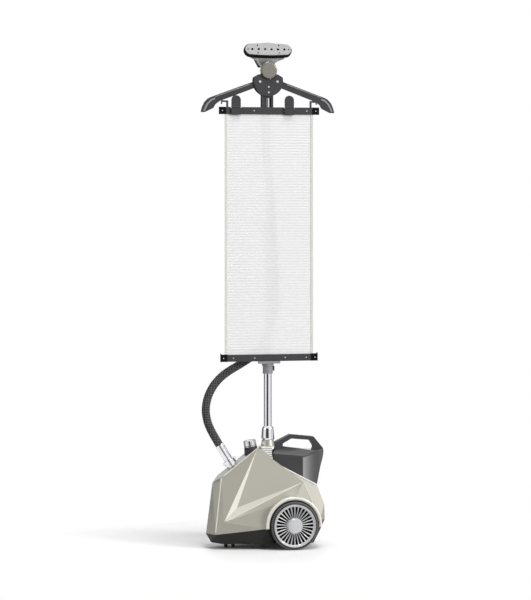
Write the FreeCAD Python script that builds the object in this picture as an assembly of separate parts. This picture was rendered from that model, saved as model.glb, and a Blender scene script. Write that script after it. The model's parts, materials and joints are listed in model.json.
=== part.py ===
"""Upright garment steamer: wheeled base with a lift-out tank, telescopic pole, folding hanger and board.

Frame: millimetres, +Z up, origin on the floor under the pole. -X is the nose, +X the tank end.
The left side of the machine is -Y. Left and right parts mirror each other in Y on the base.
The hanger spreads along X.
"""
import FreeCAD
import Part

import math
import os

V = FreeCAD.Vector
X_AXIS = V(1, 0, 0)
Y_AXIS = V(0, 1, 0)
Z_AXIS = V(0, 0, 1)

# ---- base ----
WALL = 3.0
SKIRT_Z = 51.0          # lower rim of the shells at the nose
SKIRT_SLOPE = 0.12      # the rim climbs towards the rear
NOSE_X = -195.0
REAR_X = 175.0
PAN_Z = 18.0            # underside of the pan
DECK_FRONT = V(6, 30, 284)
DECK_REAR = V(155, 60, 205)
APEX = V(-42, 28, 332)
NOSE_TOP = V(-166, 30, 238)
PROW = V(-190, 0, 217)  # front of the spine, on the middle plane
TOE_X = -212.0          # front of the rim, on the middle plane
SPINE_HALF = 25.0

# ---- wheels ----
WHEEL_R = 80.0
WHEEL_X = 62.0
WHEEL_IN = 94.0         # inner face of a wheel, from the middle plane
WHEEL_OUT = 130.0
ARCH_R = 84.5
ARCH_LIP = 12.0         # width of the raised lip round an arch
WELL_Y = 84.0           # floor of the wheel well
AXLE_R = 5.0
RIM_R = 71.0            # where the tyre sits
SLOTS = 28
CASTER_X = -131.0
CASTER_R = 15.0
CASTER_TRAIL = 6.0
CASTER_GAP = 9.0        # inner face of a roller, from the middle of the fork
CASTER_HALF = 16.0
GLAND_R = 9.0
GLAND_Z = 130.0

# ---- pole ----
LOWER_R = 14.0
MID_R = 11.0
UPPER_R = 8.0
TUBE_WALL = 1.4
LOWER_FOOT_Z = 104.0
LOWER_TOP_Z = 612.0
MID_FOOT_Z = 470.0
MID_TOP_Z = 1078.0
UPPER_FOOT_Z = 1000.0
UPPER_TOP_Z = 1507.0
COLLAR_Z = 335.0
CUP_Z = 356.0
CUP_TOP_Z = 402.0
LOCK_R = 17.0

# ---- tank ----
TANK_FRONT_X = 13.0
TANK_CREASE_X = 108.0   # where the flat flanks meet the round back
TANK_BACK_X = 193.0
POLE_GROOVE_R = 25.5

# ---- hanger and board ----
HUB_Z = 1556.0
HUB_R = 50.0
ARM_PIVOT = V(30, 0, 1555)
ARM_HALF_Y = 8.0
PIN_R = 3.0              # pins the hanger arms fold on
BAR_Z = 1457.0
BAR_HEIGHT = 24.0
BAR_HALF = 172.0
BAR_BACK_Y = -16.0
BAR_FRONT_Y = -22.0
BOTTOM_BAR_Z = 631.5
BOTTOM_BAR_HEIGHT = 23.0
FABRIC_HALF = 152.0
FABRIC_Y = -19.0
CLIP_LEFT_X = -115.0
CLIP_RIGHT_X = 68.0
CLIP_Y = -26.0
CLIP_Z = 1468.0         # pin that the clips turn on

# ---- head ----
HEAD_Z = 1662.0
HEAD_Y = -6.0
HEAD_TILT = 24.0
HEAD_WIDTH = 158.0
PLATE_HALF_Z = 19.0
PLATE_CORNER_X = 61.0
HOLE_PITCH = 22.1
HOLE_R = 4.0
SEAL_DEPTH = 15.0        # black band between the soleplate and the grey shell
SEAL_GROW = 3.0
HANDLE_Y = 34.0
HANDLE_R = 16.0
CUFF_TOP_Z = 1475.0
CAP_Z = 1593.0
CAP_R = 28.5
CAP_BACK_Y = -4.0

# ---- hose ----
HOSE_R = 13.5


def save(node, shape):
    """Writes one sub-part to its own STEP file."""
    shape.exportStep("parts/" + node + ".step")
    solids = shape.Solids
    print("%-22s solids %2d  volume %10.0f  valid %s" % (node, len(solids), shape.Volume, shape.isValid()))


def box(x0, x1, y0, y1, z0, z1):
    return Part.makeBox(x1 - x0, y1 - y0, z1 - z0, V(x0, y0, z0))


def rod(radius, start, end):
    """A cylinder between two points."""
    along = end - start
    return Part.makeCylinder(radius, along.Length, start, along)


def pipe(outer, inner, start, end):
    return rod(outer, start, end).cut(rod(inner, start, end))


def cone(r0, r1, start, end):
    along = end - start
    return Part.makeCone(r0, r1, along.Length, start, along)


def prism_xz(points, y0, y1):
    """A flat outline in X and Z, carried from y0 to y1."""
    corners = [V(x, y0, z) for x, z in points]
    return Part.Face(Part.makePolygon(corners + corners[:1])).extrude(V(0, y1 - y0, 0))


def prism_xy(points, z0, z1):
    """A flat outline in X and Y, carried from z0 to z1."""
    corners = [V(x, y, z0) for x, y in points]
    return Part.Face(Part.makePolygon(corners + corners[:1])).extrude(V(0, 0, z1 - z0))


def fuse(shapes):
    whole = shapes[0]
    for shape in shapes[1:]:
        whole = whole.fuse(shape)
    return whole.removeSplitter()


def mirror_y(shape):
    return shape.mirror(V(0, 0, 0), Y_AXIS)


def mirror_x(shape):
    return shape.mirror(V(0, 0, 0), X_AXIS)


def turned(shape, degrees, pivot, axis):
    copy = shape.copy()
    copy.rotate(pivot, axis, degrees)
    return copy


def polyhedron(faces):
    """A closed solid from a list of flat faces, each a list of corners."""
    sides = [Part.Face(Part.makePolygon(face + face[:1])) for face in faces]
    return Part.Solid(Part.Shell(sides))


def skirt(x):
    """Height of the line where the shells meet the pan."""
    return SKIRT_Z + SKIRT_SLOPE * (x - NOSE_X)


# ---------------------------------------------------------------- base shells

def hull_points(inset, drop):
    """Corners of one half of the faceted hull; inset moves the skin inwards, drop lowers the rim."""
    def p(x, y, z):
        return V(x * (1 - inset / 190.0), y - inset, z - inset)

    def rim(x, y):
        return V(x * (1 - inset / 190.0), y - inset, skirt(x) - drop)

    return {
        "toe": rim(TOE_X, inset), "prow": p(PROW.x, inset, PROW.z),
        "nose_low": rim(NOSE_X, 65), "nose_top": p(NOSE_TOP.x, NOSE_TOP.y, NOSE_TOP.z),
        "apex": p(APEX.x, APEX.y, APEX.z), "apex_rear": p(-25, 28, 326), "step": p(2, 29, 303),
        "deck_front": p(DECK_FRONT.x, DECK_FRONT.y, DECK_FRONT.z),
        "deck_rear": p(DECK_REAR.x, DECK_REAR.y, DECK_REAR.z), "crest": p(108, 57, 218),
        "low": p(-166, 67, 92), "mid": p(-119.5, 56, 136.5), "arch_top": p(70, 104, 172),
        "rear_knee": p(REAR_X, 78, 145), "rear_low": rim(REAR_X, 85),
        "ridge_low": rim(151, 112), "arch_front": rim(-29, 110),
    }


HULL_FACETS = [
    ("nose_low", "toe", "prow"), ("nose_low", "prow", "nose_top"),
    ("nose_top", "apex", "low"), ("nose_top", "low", "nose_low"), ("apex", "mid", "low"),
    ("low", "mid", "crest"), ("apex", "crest", "mid"), ("apex", "deck_front", "crest"),
    ("apex", "step", "deck_front"), ("apex", "apex_rear", "step"), ("deck_front", "deck_rear", "crest"),
    ("low", "crest", "arch_top"), ("low", "arch_top", "arch_front"), ("low", "arch_front", "nose_low"),
    ("crest", "ridge_low", "arch_top"), ("crest", "deck_rear", "ridge_low"),
    ("deck_rear", "rear_knee", "ridge_low"), ("rear_knee", "rear_low", "ridge_low"),
    ("arch_top", "ridge_low", "arch_front"),
]
HULL_RIM = ["nose_low", "arch_front", "ridge_low", "rear_low"]
HULL_CREST = ["nose_top", "apex", "apex_rear", "step", "deck_front", "deck_rear", "rear_knee",
              "rear_low"]


def both_sides(half, facets, crest, rim):
    """Closes a half hull with its mirror image, strips along the crest and a flat rim."""
    far = {name: V(c.x, -c.y, c.z) for name, c in half.items()}
    faces = [[side[n] for n in facet] for facet in facets for side in (half, far)]
    for a, b in zip(crest, crest[1:]):
        faces.append([half[a], half[b], far[b], far[a]])
    faces.append([half["nose_top"], half["prow"], far["nose_top"]])
    faces.append([half["toe"]] + [half[n] for n in rim] + [far[n] for n in reversed(rim)])
    return polyhedron(faces)


def hull(inset=0.0, drop=0.0):
    return both_sides(hull_points(inset, drop), HULL_FACETS, HULL_CREST, HULL_RIM)


def wheel_wells(radius, inner):
    hub = V(WHEEL_X, 0, WHEEL_R)
    near = rod(radius, hub + V(0, -inner, 0), hub + V(0, -200, 0))
    return near.fuse(mirror_y(near))


def arch_lips():
    """Raised lips around the wheel arches."""
    hub = V(WHEEL_X, 0, WHEEL_R)
    near = pipe(ARCH_R + ARCH_LIP, ARCH_R, hub + V(0, -98, 0), hub + V(0, -117, 0))
    lips = near.fuse(mirror_y(near))
    below = prism_xz([(-150, -50), (300, -50), (300, skirt(300)), (-150, skirt(-150))], -200, 200)
    return lips.cut(below)


def body_skin():
    skin = hull().cut(hull(WALL, 12)).fuse(arch_lips())
    skin = skin.cut(wheel_wells(ARCH_R, WELL_Y - 20))
    skin = skin.cut(rod(GLAND_R, V(150, 0, GLAND_Z), V(190, 0, GLAND_Z)))
    return skin.cut(rod(LOWER_R + 0.3, V(0, 0, 60), V(0, 0, 400)))


def spine_region():
    return prism_xz([(-196, 214), (-205, 240), (-60, 350), (-25, 350), (-25, 300), (-42, 318), (-160, 228)],
                    -SPINE_HALF, SPINE_HALF)


def deck_region():
    plan = [(-25, -26), (6, -27), (153, -57), (153, 57), (6, 27), (-25, 26)]
    side = [(-25, 290), (-25, 350), (30, 350), (158, 230), (158, 196), (20, 262)]
    return prism_xy(plan, 150, 350).common(prism_xz(side, -70, 70))


def shells():
    skin = body_skin()
    spine = skin.common(spine_region())
    deck = skin.common(deck_region())
    rest = skin.cut(spine_region()).cut(deck_region())
    left = rest.common(box(-300, 300, -300, 0, 0, 500))
    right = rest.common(box(-300, 300, 0, 300, 0, 500))
    save("side_shell_left", left)
    save("side_shell_right", right)
    save("spine_cover", spine.cut(hose_port_hole()).cut(knob_hole()))
    save("tank_deck", deck.cut(rod(9, V(86, 0, 150), V(86, 0, 300))))


def pan_points(inset, lift):
    def rim(x, y):
        return V(x * (1 - inset / 190.0), y - inset, skirt(x) + (20 if lift else 0))

    def floor(x, y, z):
        return V(x * (1 - inset / 190.0), y - inset, z + lift)

    return {"toe": rim(TOE_X, inset), "keel": floor(-194, inset, PAN_Z),
            "a": rim(NOSE_X, 65), "b": rim(-29, 110), "c": rim(151, 112), "d": rim(REAR_X, 85),
            "e": floor(-168, 50, PAN_Z), "f": floor(-40, 88, PAN_Z), "g": floor(135, 88, PAN_Z),
            "h": floor(158, 76, 52)}


PAN_FACETS = [("a", "e", "keel"), ("a", "keel", "toe"), ("a", "b", "f"), ("a", "f", "e"), ("b", "c", "g"),
              ("b", "g", "f"), ("c", "d", "h"), ("c", "h", "g")]


def pan_solid(inset=0.0, lift=0.0):
    half = pan_points(inset, lift)
    far = {name: V(c.x, -c.y, c.z) for name, c in half.items()}
    faces = [[side[n] for n in facet] for facet in PAN_FACETS for side in (half, far)]
    faces.append([half["d"], half["h"], far["h"], far["d"]])
    faces.append([half["g"], half["h"], far["h"], far["g"]])
    faces.append([half[n] for n in ("keel", "e", "f", "g")] + [far[n] for n in "gfe"])
    faces.append([half[n] for n in ("toe", "a", "b", "c", "d")] + [far[n] for n in "dcba"])
    return polyhedron(faces)


def base_pan():
    pan = pan_solid().cut(pan_solid(WALL, WALL))
    pan = pan.cut(wheel_wells(ARCH_R, WELL_Y - 20))
    cup_axis = V(CASTER_X, 0, 0)
    cup = pipe(31, 28, cup_axis + V(0, 0, PAN_Z), cup_axis + V(0, 0, 38))
    roof = rod(31, cup_axis + V(0, 0, 35), cup_axis + V(0, 0, 38))
    bearing = box(WHEEL_X - 12, WHEEL_X + 12, -78, -68, PAN_Z + 1, WHEEL_R + 12)
    pan = fuse([pan, cup, roof, bearing, mirror_y(bearing)])
    pan = pan.cut(rod(28, cup_axis, cup_axis + V(0, 0, 35)))
    pan = pan.cut(rod(AXLE_R, V(WHEEL_X, -90, WHEEL_R), V(WHEEL_X, 90, WHEEL_R)))
    pan = pan.cut(rod(4.1, cup_axis, cup_axis + V(0, 0, 60)))
    save("base_pan", Part.makeCompound([pan] + wheel_liners()))


def wheel_liners():
    """Dark liners behind the wheels."""
    hub = V(WHEEL_X, 0, WHEEL_R)
    ring = pipe(ARCH_R - 0.5, ARCH_R - 2.5, hub + V(0, -96, 0), hub + V(0, -WELL_Y, 0))
    wall = pipe(ARCH_R - 0.5, AXLE_R + 0.2, hub + V(0, -WELL_Y, 0), hub + V(0, -WELL_Y + 2.5, 0))
    liner = ring.fuse(wall).common(box(-60, 200, -100, -70, 30, 200))
    return [liner, mirror_y(liner)]


# ---------------------------------------------------------------- running gear

def wheel(side):
    """Tyre, slotted rim and cap of one wheel; side is -1 on the left."""
    hub = V(WHEEL_X, 0, WHEEL_R)
    inner = hub + V(0, -WHEEL_IN, 0)
    outer = hub + V(0, -WHEEL_OUT, 0)
    tyre = pipe(WHEEL_R, RIM_R, inner, outer)
    tread = [turned(box(-1, 1, -WHEEL_OUT + 8, -WHEEL_IN - 8, WHEEL_R - 1.2, WHEEL_R + 2), n * 7.5,
                    V(0, 0, 0), Y_AXIS) for n in range(48)]
    grooves = Part.makeCompound(tread)
    grooves.translate(hub)
    tyre = tyre.cut(grooves)
    rim = rod(RIM_R, hub + V(0, -98, 0), hub + V(0, -128, 0))
    rim = rim.cut(rod(RIM_R - 8, hub + V(0, -120, 0), hub + V(0, -140, 0)))
    rim = rim.cut(rod(AXLE_R + 0.05, hub, hub + V(0, -200, 0)))
    rim = rim.cut(rod(RIM_R - 4, hub + V(0, -90, 0), hub + V(0, -112, 0)))
    rim = rim.fuse(pipe(14, AXLE_R + 0.05, hub + V(0, -96, 0), hub + V(0, -119, 0)))
    ring = pipe(RIM_R - 7, 26, hub + V(0, -119, 0), hub + V(0, -126, 0))
    slot = prism_xz([(-1.4, 28), (1.4, 28), (4.2, 62), (-4.2, 62)], -118, -130)
    slots = [turned(slot, n * 360.0 / SLOTS, V(0, 0, 0), Y_AXIS) for n in range(SLOTS)]
    cutter = Part.makeCompound(slots)
    cutter.translate(hub)
    rim = rim.fuse(ring.cut(cutter))
    cap = cone(27, 24, hub + V(0, -126, 0), hub + V(0, -130.5, 0))
    backing = rod(25.8, hub + V(0, -120, 0), hub + V(0, -126, 0))
    cap = cap.fuse(backing).cut(rod(AXLE_R + 0.4, hub, hub + V(0, -126.2, 0)))
    name = "left" if side < 0 else "right"
    for node, shape in (("tyre_", tyre), ("wheel_rim_", rim), ("wheel_cap_", cap)):
        save(node + name, shape if side < 0 else mirror_y(shape))


def running_gear():
    wheel(-1)
    wheel(1)
    hub = V(WHEEL_X, 0, WHEEL_R)
    save("rear_axle", rod(AXLE_R, hub + V(0, -126, 0), hub + V(0, 126, 0)))
    centre = V(CASTER_X, CASTER_TRAIL, CASTER_R)
    stem = rod(4, V(CASTER_X, 0, 31), V(CASTER_X, 0, 44))
    plate = rod(13, V(CASTER_X, 0, 31.5), V(CASTER_X, 0, 34.5))
    web = box(CASTER_X - 8.5, CASTER_X + 8.5, -4, CASTER_TRAIL + 6, 10, 33)
    fork = fuse([stem, plate, web]).cut(rod(2.05, centre - V(20, 0, 0), centre + V(20, 0, 0)))
    save("caster_fork", fork)
    axle = rod(2, centre - V(CASTER_HALF, 0, 0), centre + V(CASTER_HALF, 0, 0))
    discs = []
    for s in (-1, 1):
        discs.append(rod(CASTER_R, centre + V(s * CASTER_GAP, 0, 0), centre + V(s * CASTER_HALF, 0, 0)))
    save("caster_wheels", fuse([axle] + discs))


# ---------------------------------------------------------------- inside the base

PORT_AXIS = V(-math.sin(math.radians(32)), 0, math.cos(math.radians(32)))
PORT_FOOT = V(-121, 0, 270)
KNOB_AXIS = V(-math.sin(math.radians(10)), 0, math.cos(math.radians(10)))
KNOB_FOOT = V(-54, 0, 303)


def hose_port_hole():
    return rod(18.2, PORT_FOOT - PORT_AXIS * 40, PORT_FOOT + PORT_AXIS * 40)


def knob_hole():
    return rod(8.2, KNOB_FOOT - KNOB_AXIS * 40, KNOB_FOOT + KNOB_AXIS * 60)


def hose_port():
    port = pipe(18, 11, PORT_FOOT - PORT_AXIS * 26, PORT_FOOT + PORT_AXIS * 10)
    flange = pipe(22, 11, PORT_FOOT + PORT_AXIS * 10, PORT_FOOT + PORT_AXIS * 15)
    save("hose_port", port.fuse(flange))
    start = PORT_FOOT + PORT_AXIS * 15
    collar = pipe(20, 11, start, start + PORT_AXIS * 12)
    ears = box(-26, 26, -6, 6, 1, 11).cut(rod(11, V(0, 0, 0), V(0, 0, 20)))
    ears.rotate(V(0, 0, 0), Y_AXIS, -32)
    ears.translate(start)
    save("hose_collar", collar.fuse(ears))
    sleeve_start = start + PORT_AXIS * 12
    save("hose_sleeve", pipe(15.5, 11, sleeve_start, sleeve_start + PORT_AXIS * 60))


def steam_knob():
    foot = KNOB_FOOT
    pedestal = cone(26, 21.5, foot - KNOB_AXIS * 6, foot + KNOB_AXIS * 32)
    pedestal = pedestal.cut(hull()).cut(box(-29, 100, -100, 100, 0, 500))
    stem_hole = rod(4.3, foot - KNOB_AXIS * 60, foot + KNOB_AXIS * 60)
    save("knob_pedestal", pedestal.cut(stem_hole).Solids[0])
    seat = foot + KNOB_AXIS * 32.4
    grip = rod(21.5, seat, seat + KNOB_AXIS * 20)
    flutes = [turned(rod(3, V(23, 0, -1), V(23, 0, 30)), n * 30.0, V(0, 0, 0), Z_AXIS) for n in range(12)]
    cutter = Part.makeCompound(flutes)
    cutter.rotate(V(0, 0, 0), Y_AXIS, -10)
    cutter.translate(seat)
    grip = grip.cut(cutter).fuse(rod(4.25, seat - KNOB_AXIS * 62, seat))
    save("steam_knob", grip)
    valve = pipe(9, 4.35, foot - KNOB_AXIS * 40, foot - KNOB_AXIS * 20)
    save("steam_valve", valve)


def inner_parts():
    boiler = rod(38, V(-66, 0, 58), V(-66, 0, 150)).fuse(rod(44, V(-66, 0, 96), V(-66, 0, 112)))
    thermostat = rod(11, V(-66, 0, 150), V(-66, 0, 162)).fuse(box(-70, -62, -16, 16, 162, 166))
    save("boiler", Part.makeCompound([boiler, thermostat]))
    legs = [rod(5, V(-66 + 28 * c, 28 * s, PAN_Z + WALL), V(-66 + 28 * c, 28 * s, 58))
            for c in (-1, 1) for s in (-1, 1)]
    save("water_pump", box(28, 62, -18, 18, 96, 132).fuse(rod(12, V(62, 0, 114), V(92, 0, 114))))
    stand = box(26, 94, -12, 12, PAN_Z + WALL, 60).fuse(box(26, 46, -12, 12, 60, 96))
    seat = pipe(8.8, 5, V(86, 0, 190), V(86, 0, 238)).fuse(rod(3, V(86, 0, 126.2), V(86, 0, 196)))
    save("valve_seat", seat.fuse(rod(8.8, V(86, 0, 190), V(86, 0, 194))))
    board = box(-150, -112, -34, 34, 128, 130).fuse(box(-142, -120, -24, 4, 130, 142))
    save("control_board", board)
    posts = [rod(3, V(x, y, PAN_Z + WALL), V(x, y, 128)) for x in (-146, -116) for y in (-31, 31)]
    save("pan_posts", Part.makeCompound(posts + legs + [stand]))
    gland = pipe(GLAND_R, 4, V(158, 0, GLAND_Z), V(182, 0, GLAND_Z))
    save("mains_gland", gland)
    screws = [rod(3.2, V(x, y, PAN_Z - 1.2), V(x, y, PAN_Z)) for x in (-90, 10, 120) for y in (-40, 40)]
    save("base_fasteners", Part.makeCompound(screws + rivets((-157, -123, -50, 55, 128, 158), BOTTOM_BAR_Z)))


def vent_tower():
    """Louvred block that carries the pole, standing on the shells behind the ridge."""
    block = box(-27, 9, -24, 24, 270, COLLAR_Z)
    block = block.cut(box(-24, 6, -21, 21, 260, COLLAR_Z - 4))
    louvres = [box(-40, 20, -40, 40, z, z + 2.6).cut(box(-25.4, 7.4, -22.4, 22.4, 0, 500))
               for z in (300, 306.7, 313.4, 320.1, 326.8)]
    block = block.cut(Part.makeCompound(louvres))
    block = block.cut(hull()).cut(rod(LOWER_R + 0.3, V(0, 0, 200), V(0, 0, 400)))
    save("vent_tower", max(block.Solids, key=lambda s: s.Volume))


# ---------------------------------------------------------------- water tank

def tank_plan(shrink):
    """Plan of the tank: flat flanks that open to the rear, and a round back."""
    w0, w1, back = 28 - shrink, 50 - shrink, TANK_BACK_X - shrink
    start = TANK_FRONT_X + shrink
    end_x, end_w = back - 15, 22 - shrink * 0.5
    edges = [
        Part.LineSegment(V(start, -w0, 0), V(TANK_CREASE_X, -w1, 0)).toShape(),
        Part.Arc(V(TANK_CREASE_X, -w1, 0), V(back - 48, 12.7 - w1, 0), V(end_x, -end_w, 0)).toShape(),
        Part.Arc(V(end_x, -end_w, 0), V(back, 0, 0), V(end_x, end_w, 0)).toShape(),
        Part.Arc(V(end_x, end_w, 0), V(back - 48, w1 - 12.7, 0), V(TANK_CREASE_X, w1, 0)).toShape(),
        Part.LineSegment(V(TANK_CREASE_X, w1, 0), V(start, w0, 0)).toShape(),
        Part.LineSegment(V(start, w0, 0), V(start, -w0, 0)).toShape(),
    ]
    return Part.Face(Part.Wire(edges))


def tank_block(shrink, z0, z1):
    """Block on the tank's plan, hollowed in front so that it lifts past the pole collar."""
    face = tank_plan(shrink)
    face.translate(V(0, 0, z0))
    return face.extrude(V(0, 0, z1 - z0)).cut(rod(POLE_GROOVE_R + shrink, V(0, 0, z0), V(0, 0, z1)))


def tank_shoulders(drop):
    """Everything below the two sloping shoulders that meet along the top of the tank."""
    ridge = 339 - drop
    rise = 0.08
    fall = 0.72
    ends = []
    for x in (-20, 220):
        top = ridge + rise * (x - TANK_CREASE_X)
        ends.append([V(x, 0, top), V(x, -100, top - 100 * fall), V(x, -100, 0), V(x, 100, 0),
                     V(x, 100, top - 100 * fall)])
    near, far = ends
    faces = [near, list(reversed(far))]
    for n in range(5):
        m = (n + 1) % 5
        faces.append([near[n], near[m], far[m], far[n]])
    return polyhedron(faces)


def tank():
    side = prism_xz([(TANK_FRONT_X, 282.3), (TANK_FRONT_X, 334), (48, 333.5), (150, 320), (178, 322),
                     (186, 326), (193, 316), (176, 262), (162.5, 203.5)], -80, 80)
    outer = tank_block(0, 150, 400).common(side).common(tank_shoulders(0))
    inner_x = TANK_FRONT_X + WALL
    inner_side = prism_xz([(inner_x, 284.4), (inner_x, 331), (48, 330.5), (150, 317), (182, 321),
                           (189, 315), (173, 262), (160.5, 208.5)], -80, 80)
    inner = tank_block(WALL, 150, 400).common(inner_side).common(tank_shoulders(WALL))
    spout = rod(12, V(86, 0, 240), V(86, 0, 262))
    body = outer.cut(inner).cut(spout)
    save("tank_body", body)
    grip = prism_xz([(25, 316), (25, 349), (76, 373), (156, 364), (189, 324), (184, 312), (150, 312),
                     (157, 331), (144, 353), (78, 359), (49, 343), (48, 316)], -14, 14)
    save("tank_handle", grip.cut(outer))
    cap = pipe(11.7, 4, V(86, 0, 249), V(86, 0, 262)).fuse(rod(4.5, V(86, 0, 240), V(86, 0, 252)))
    save("tank_valve_cap", cap)


# ---------------------------------------------------------------- pole

def lever(z, radius):
    """A small cam lever on a lock collar, on the +X side, that turns about its upper end."""
    pivot = V(radius + 2.5, 0, z + 6)
    knuckle = rod(2.5, pivot - V(0, 5, 0), pivot + V(0, 5, 0))
    return knuckle.fuse(box(radius, radius + 5, -5, 5, z - 8, z + 6))


def lock_collar(z0, z1, outer, inner, tube_top, tube_outer):
    collar = pipe(outer, inner, V(0, 0, z0), V(0, 0, z1))
    return collar.cut(rod(tube_outer, V(0, 0, z0 - 1), V(0, 0, tube_top)))


def pole():
    bore = rod(LOWER_R, V(0, 0, 0), V(0, 0, 500))
    save("pole_collar", cone(24, 20, V(0, 0, COLLAR_Z), V(0, 0, CUP_Z)).cut(bore))
    profile = [(LOWER_R, CUP_Z), (20, CUP_Z), (23.4, CUP_Z + 7), (20.5, CUP_TOP_Z - 8), (17.5, CUP_TOP_Z),
               (LOWER_R, CUP_TOP_Z)]
    corners = [V(r, 0, z) for r, z in profile]
    cup = Part.Face(Part.makePolygon(corners + corners[:1])).revolve(V(0, 0, 0), Z_AXIS, 360)
    save("pole_cup", cup)
    lower = pipe(LOWER_R, LOWER_R - TUBE_WALL, V(0, 0, LOWER_FOOT_Z), V(0, 0, LOWER_TOP_Z))
    save("lower_tube", lower)
    collar = lock_collar(578, 619, LOCK_R, MID_R + 0.3, LOWER_TOP_Z, LOWER_R)
    foot = box(-38, 38, -22, -16, 612, 620).fuse(pipe(20, LOCK_R, V(0, 0, 604), V(0, 0, 619)))
    foot = foot.cut(rod(LOCK_R, V(0, 0, 600), V(0, 0, 630)))
    save("lower_lock_collar", Part.makeCompound([collar, foot]))
    save("lower_lock_lever", lever(595, LOCK_R + 0.3))
    mid = pipe(MID_R, MID_R - TUBE_WALL, V(0, 0, MID_FOOT_Z), V(0, 0, MID_TOP_Z))
    foot = pipe(LOWER_R - TUBE_WALL - 0.3, MID_R - 0.5, V(0, 0, MID_FOOT_Z), V(0, 0, MID_FOOT_Z + 25))
    save("mid_tube", mid.fuse(foot))
    save("upper_lock_collar", lock_collar(1052, 1086, LOCK_R - 3, UPPER_R + 0.3, MID_TOP_Z, MID_R))
    save("upper_lock_lever", lever(1068, LOCK_R - 2.7))
    upper = pipe(UPPER_R, UPPER_R - TUBE_WALL, V(0, 0, UPPER_FOOT_Z), V(0, 0, UPPER_TOP_Z))
    foot = pipe(MID_R - TUBE_WALL - 0.3, UPPER_R - 0.5, V(0, 0, UPPER_FOOT_Z), V(0, 0, UPPER_FOOT_Z + 25))
    save("upper_tube", upper.fuse(foot))


# ---------------------------------------------------------------- hanger

def hub():
    outline = prism_xz([(-60, 1480), (60, 1480), (60, 1563), (30, 1580), (-30, 1580), (-60, 1563)], -20, 20)
    notch = rod(30.5, V(0, -20, CAP_Z), V(0, 20, CAP_Z))
    for node, y0, y1 in (("hub_front", -14, -9), ("hub_back", 9, 14)):
        plate = rod(HUB_R, V(0, y0, HUB_Z), V(0, y1, HUB_Z)).common(outline).cut(notch)
        for x in (-ARM_PIVOT.x, ARM_PIVOT.x):
            plate = plate.cut(rod(PIN_R, V(x, -20, ARM_PIVOT.z), V(x, 20, ARM_PIVOT.z)))
        for z in (1537, 1519):
            plate = plate.cut(rod(2, V(0, -20, z), V(0, 20, z)))
        save(node, plate)
    core = box(-14, 14, -9, 9, 1500, 1552)
    rails = [box(x, x + 8, -9, 9, BAR_Z + 9, 1530) for x in (-17, 9)]
    core = fuse([core] + rails).cut(rod(UPPER_R, V(0, 0, 1400), V(0, 0, UPPER_TOP_Z)))
    for z in (1537, 1519):
        core = core.cut(rod(2, V(0, -20, z), V(0, 20, z)))
    ring = rod(12, V(0, 0, BAR_Z - 8), V(0, 0, BAR_Z + 8))
    bracket = ring.fuse(box(-10, 10, BAR_BACK_Y, 0, BAR_Z - 8, BAR_Z + 8))
    bracket = bracket.cut(rod(UPPER_R, V(0, 0, 1400), V(0, 0, 1500)))
    save("hanger_stem", Part.makeCompound([core, bracket]))
    pins = [rod(PIN_R, V(x, -14, ARM_PIVOT.z), V(x, 14, ARM_PIVOT.z)) for x in (-ARM_PIVOT.x, ARM_PIVOT.x)]
    heads = [rod(PIN_R + 0.9, V(x, y, ARM_PIVOT.z), V(x, y + 1.5, ARM_PIVOT.z))
             for x in (-ARM_PIVOT.x, ARM_PIVOT.x) for y in (-15.5, 14)]
    pins = [fuse([pins[i], heads[2 * i], heads[2 * i + 1]]) for i in (0, 1)]
    screws = []
    for z in (1537, 1519):
        screws.append(rod(2, V(0, -14, z), V(0, 14, z)).fuse(rod(2.8, V(0, -15.4, z), V(0, -14, z))))
    bar_rivets = rivets((-161, -128, -52, 54, 130, 161), BAR_Z)
    save("hanger_fasteners", Part.makeCompound(pins + screws + clip_pins() + bar_rivets))


def arms():
    outline = [(30, 1567), (50, 1555), (194, 1503), (206, 1497), (218, 1484), (226, 1466), (229, 1451.5),
               (216, 1452), (188, 1465.5), (181, 1478), (166, 1489), (43, 1535), (30, 1543)]
    arm = prism_xz(outline, -ARM_HALF_Y, ARM_HALF_Y)
    arm = arm.fuse(rod(12, ARM_PIVOT - V(0, ARM_HALF_Y, 0), ARM_PIVOT + V(0, ARM_HALF_Y, 0)))
    arm = arm.cut(rod(PIN_R + 0.05, ARM_PIVOT - V(0, 20, 0), ARM_PIVOT + V(0, 20, 0)))
    save("arm_right", arm)
    save("arm_left", mirror_x(arm))


# ---------------------------------------------------------------- board

def board_bar(half, z_mid, height):
    return box(-half + 23, half - 23, BAR_FRONT_Y, BAR_BACK_Y, z_mid - height / 2, z_mid + height / 2)


def bar_ends(half, z_mid, height, rise):
    """End plates of a bar, with a small spike at the outer corner when rise is above 0."""
    plate = box(half - 23, half, BAR_FRONT_Y, BAR_BACK_Y, z_mid - height / 2, z_mid + height / 2)
    if rise > 0:
        plate = plate.fuse(box(half - 3, half, BAR_FRONT_Y, BAR_BACK_Y, z_mid, z_mid + height / 2 + rise))
    return [plate, mirror_x(plate)]


def rivets(places, z_mid):
    return [cone(2.6, 1.8, V(x, BAR_FRONT_Y, z_mid), V(x, BAR_FRONT_Y - 1.2, z_mid)) for x in places]


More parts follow.
